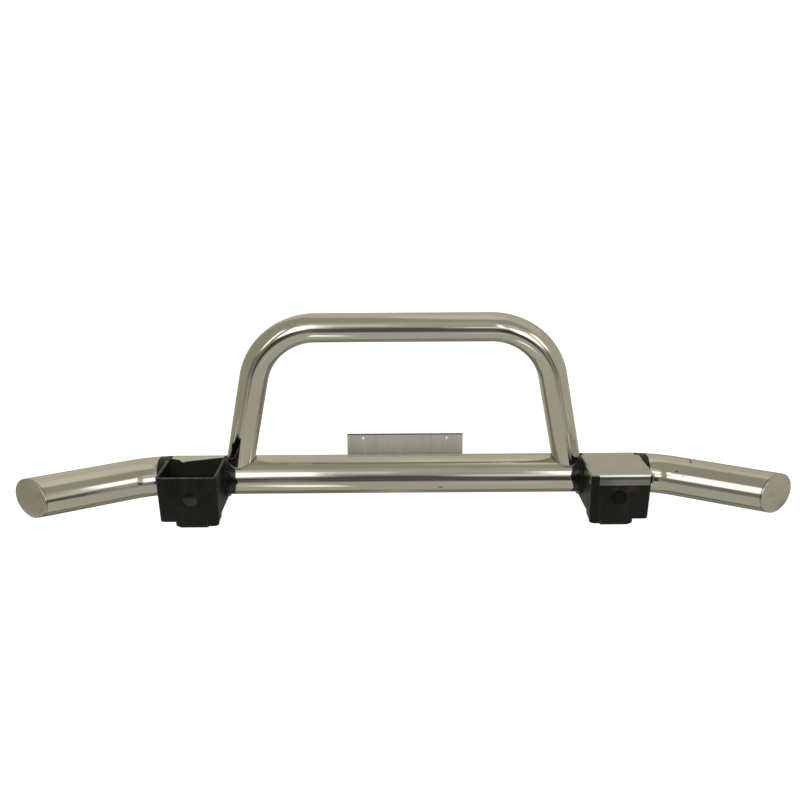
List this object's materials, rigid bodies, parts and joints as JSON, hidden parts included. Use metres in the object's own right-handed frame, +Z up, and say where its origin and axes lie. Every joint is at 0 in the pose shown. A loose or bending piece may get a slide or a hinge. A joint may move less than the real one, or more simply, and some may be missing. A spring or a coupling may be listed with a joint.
{
  "type": "front grille guard",
  "caption": "Tubular front grille guard: swept main tube with mitred, capped ends, a leaning hoop, welded box brackets, a lift-off cover plate and a number plate bracket.",
  "frame": {"origin": "centre of the whole guard's length and depth, at the height of the two brackets' lowest edge", "axes": "+X towards the vehicle's right-hand side, +Y forward away from the vehicle, +Z up"},
  "size_m": [1.4476, 0.185, 0.3909],
  "materials": {
    "polished_tube": "mirror-polished stainless steel",
    "polished_cap": "polished stainless steel plate",
    "stainless_weld": "polished-over weld bead",
    "black_paint": "semi-matt black paint on steel plate",
    "black_weld": "gloss black paint over the weld bead",
    "cover_stainless": "polished stainless steel sheet",
    "brushed_sheet": "dull brushed stainless steel sheet",
    "screw_steel": "stainless steel fastener",
    "zinc_nut": "bright zinc plated rivet nut"
  },
  "bodies": {
    "guard": {"main_tube": "polished_tube", "end_cap_left": "polished_cap", "end_cap_right": "polished_cap", "hoop_tube": "polished_tube", "hoop_weld_left": "stainless_weld", "hoop_weld_right": "stainless_weld", "bracket_shell_left": "black_paint", "bracket_shell_right": "black_paint", "bracket_floor_left": "black_paint", "bracket_floor_right": "black_paint", "bracket_weld_inboard_left": "black_weld", "bracket_weld_inboard_right": "black_weld", "bracket_weld_outboard_left": "black_weld", "bracket_weld_outboard_right": "black_weld", "floor_weld_left": "black_weld", "floor_weld_right": "black_weld", "number_plate_bracket": "brushed_sheet", "plate_bracket_screws": "screw_steel", "plate_bracket_washers": "screw_steel", "plate_rivet_nuts": "zinc_nut"},
    "cover": {"cover_plate": "cover_stainless"}
  },
  "joints": [
    {"name": "cover_lift", "type": "slide", "parent": "guard", "child": "cover", "axis": [0, 0, 1], "range_m": [0, 0.34]}
  ]
}
